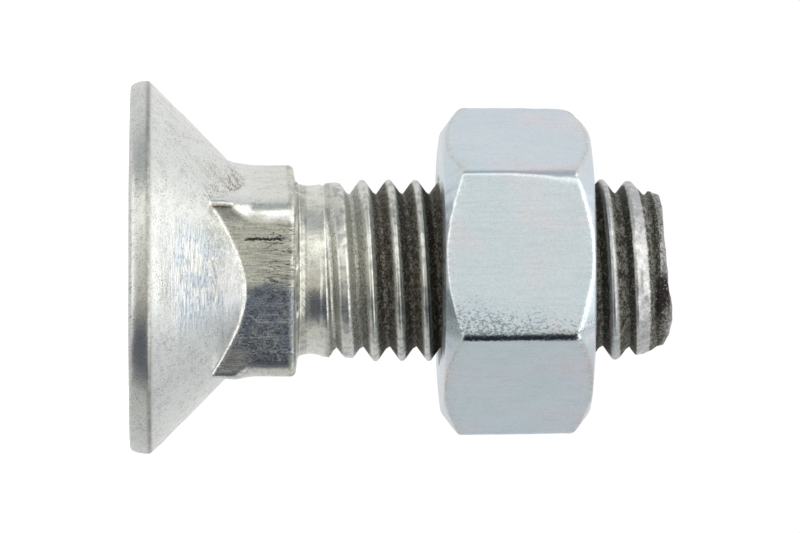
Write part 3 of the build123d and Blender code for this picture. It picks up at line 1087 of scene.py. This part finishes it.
# ---- studio: a bright tent with one dark side, given by direction ----------------------
world = bpy.data.worlds.new("studio")
bpy.context.scene.world = world
world.use_nodes = True
n = Nodes(world.node_tree)
direction = n.add("ShaderNodeTexCoord").outputs["Generated"]
a = n.vec("DOT_PRODUCT", direction, tuple(TO_CAMERA))
b = n.vec("DOT_PRODUCT", direction, tuple(PHOTO_UP))
split = n.add("ShaderNodeSeparateXYZ")
n.feed(split.inputs[0], direction)
w = split.outputs[2]
angle = n.math("ARCTAN2", b, a)
part = n.math("ADD", n.math("DIVIDE", angle, 2 * pi), 0.5)


def at(deg):
    return deg / 360 + 0.5


tent = n.ramp(
    part,
    (at(-180), (0.88, 0.88, 0.88)),
    (at(-118), (0.70, 0.71, 0.72)),
    (at(-82), (0.64, 0.65, 0.62)),
    (at(-74), (0.14, 0.15, 0.18)),
    (at(-66), (0.09, 0.10, 0.14)),
    (at(-31), (0.08, 0.09, 0.12)),
    (at(-25), (0.60, 0.58, 0.50)),
    (at(-2), (0.72, 0.71, 0.66)),
    (at(13), (0.86, 0.87, 0.85)),
    (at(24), (1.00, 1.00, 0.95)),
    (at(31), (1.45, 1.44, 1.36)),
    (at(43), (1.40, 1.40, 1.34)),
    (at(53), (0.54, 0.56, 0.58)),
    (at(66), (0.46, 0.49, 0.52)),
    (at(84), (0.56, 0.58, 0.60)),
    (at(102), (0.86, 0.87, 0.87)),
    (at(180), (0.92, 0.92, 0.92)),
    smooth=False,
)
# away from the bolt's cross-plane the tent is plain, and brighter towards its top
right_side = n.band(w, 0.40, 0.75)
left_side = n.band(n.math("MULTIPLY", w, -1.0), 0.70, 0.90)
plain = n.ramp(
    n.math("ADD", n.math("MULTIPLY", b, 0.5), 0.5),
    (0.0, (0.60, 0.62, 0.64)),
    (0.42, (0.76, 0.78, 0.79)),
    (0.5, (0.86, 0.87, 0.87)),
    (1.0, (0.98, 0.99, 0.98)),
    smooth=False,
)
tent = n.mix(n.math("MAXIMUM", right_side, left_side), tent, plain)
box = n.math("MULTIPLY", n.band(w, 0.80, 0.96), n.band(b, -0.40, -0.12))
tent = n.mix(box, tent, (1.32, 1.33, 1.31))
# two strip lights beside the camera, one towards each end of the bolt
ahead = n.band(a, 0.06, 0.30)
strip = n.math("MULTIPLY", ahead, n.band(w, 0.30, 0.52))
tent = n.mix(strip, tent, (1.8, 1.8, 1.77))
far_strip = n.math("MULTIPLY", n.band(n.math("MULTIPLY", w, -1.0), 0.58, 0.66), n.math("SUBTRACT", 1.0, n.band(n.math("MULTIPLY", w, -1.0), 0.80, 0.90)))
far_strip = n.math("MULTIPLY", n.math("MULTIPLY", far_strip, ahead), n.band(b, -0.66, -0.30))
tent = n.mix(far_strip, tent, (1.6, 1.6, 1.6))
seen = n.add("ShaderNodeLightPath").outputs["Is Camera Ray"]
tent = n.mix(seen, tent, (1.02, 1.02, 1.02))
background = n.add("ShaderNodeBackground")
n.feed(background.inputs["Color"], tent)
background.inputs["Strength"].default_value = 1.0
world_out = n.add("ShaderNodeOutputWorld")
n.feed(world_out.inputs[0], background.outputs[0])


def area_light(name, position, target, size_x, size_y, power, colour=(1, 1, 1)):
    data = bpy.data.lights.new(name, "AREA")
    data.shape = "RECTANGLE"
    data.size, data.size_y = size_x, size_y
    data.energy = power
    data.color = colour
    obj = bpy.data.objects.new(name, data)
    obj.location = position
    way = Vector(target) - Vector(position)
    obj.rotation_euler = way.to_track_quat("-Z", "Y").to_euler()
    bpy.context.scene.collection.objects.link(obj)
    return obj


middle = Vector((0, 0, 17 * MM))
key_way = (TO_CAMERA * cos(radians(37)) + PHOTO_UP * sin(radians(37)))
area_light("key_softbox", middle + key_way * 0.9, middle, 0.26, 0.20, 0.012, (1.0, 0.99, 0.96))

# ---- camera --------------------------------------------------------------------------
camera_data = bpy.data.cameras.new("photo_camera")
camera_data.sensor_width = 36.0
camera_data.lens = 311.6
camera_data.clip_start = 0.01
camera_data.clip_end = 20.0
camera = bpy.data.objects.new("photo_camera", camera_data)
distance = 0.455
eye = Vector((0, 0, 4.0 * MM)) + TO_CAMERA * distance
aim = Vector((0, 0, 17.79 * MM)) + PHOTO_UP * (0.27 * MM)
back = (eye - aim).normalized()
up = PHOTO_UP.copy()
right = up.cross(back).normalized()
up = back.cross(right).normalized()
roll = radians(0.22)  # the axis falls a little to the right
up2 = up * cos(roll) + right * sin(roll)
right2 = right * cos(roll) - up * sin(roll)
camera.matrix_world = Matrix(
    (
        (right2.x, up2.x, back.x, eye.x),
        (right2.y, up2.y, back.y, eye.y),
        (right2.z, up2.z, back.z, eye.z),
        (0, 0, 0, 1),
    )
)
bpy.context.scene.collection.objects.link(camera)
bpy.context.scene.camera = camera

scene = bpy.context.scene
scene.view_settings.view_transform = "Standard"
scene.view_settings.look = "None"
scene.view_settings.exposure = 0.0
scene.view_settings.gamma = 1.0

bpy.context.view_layer.update()
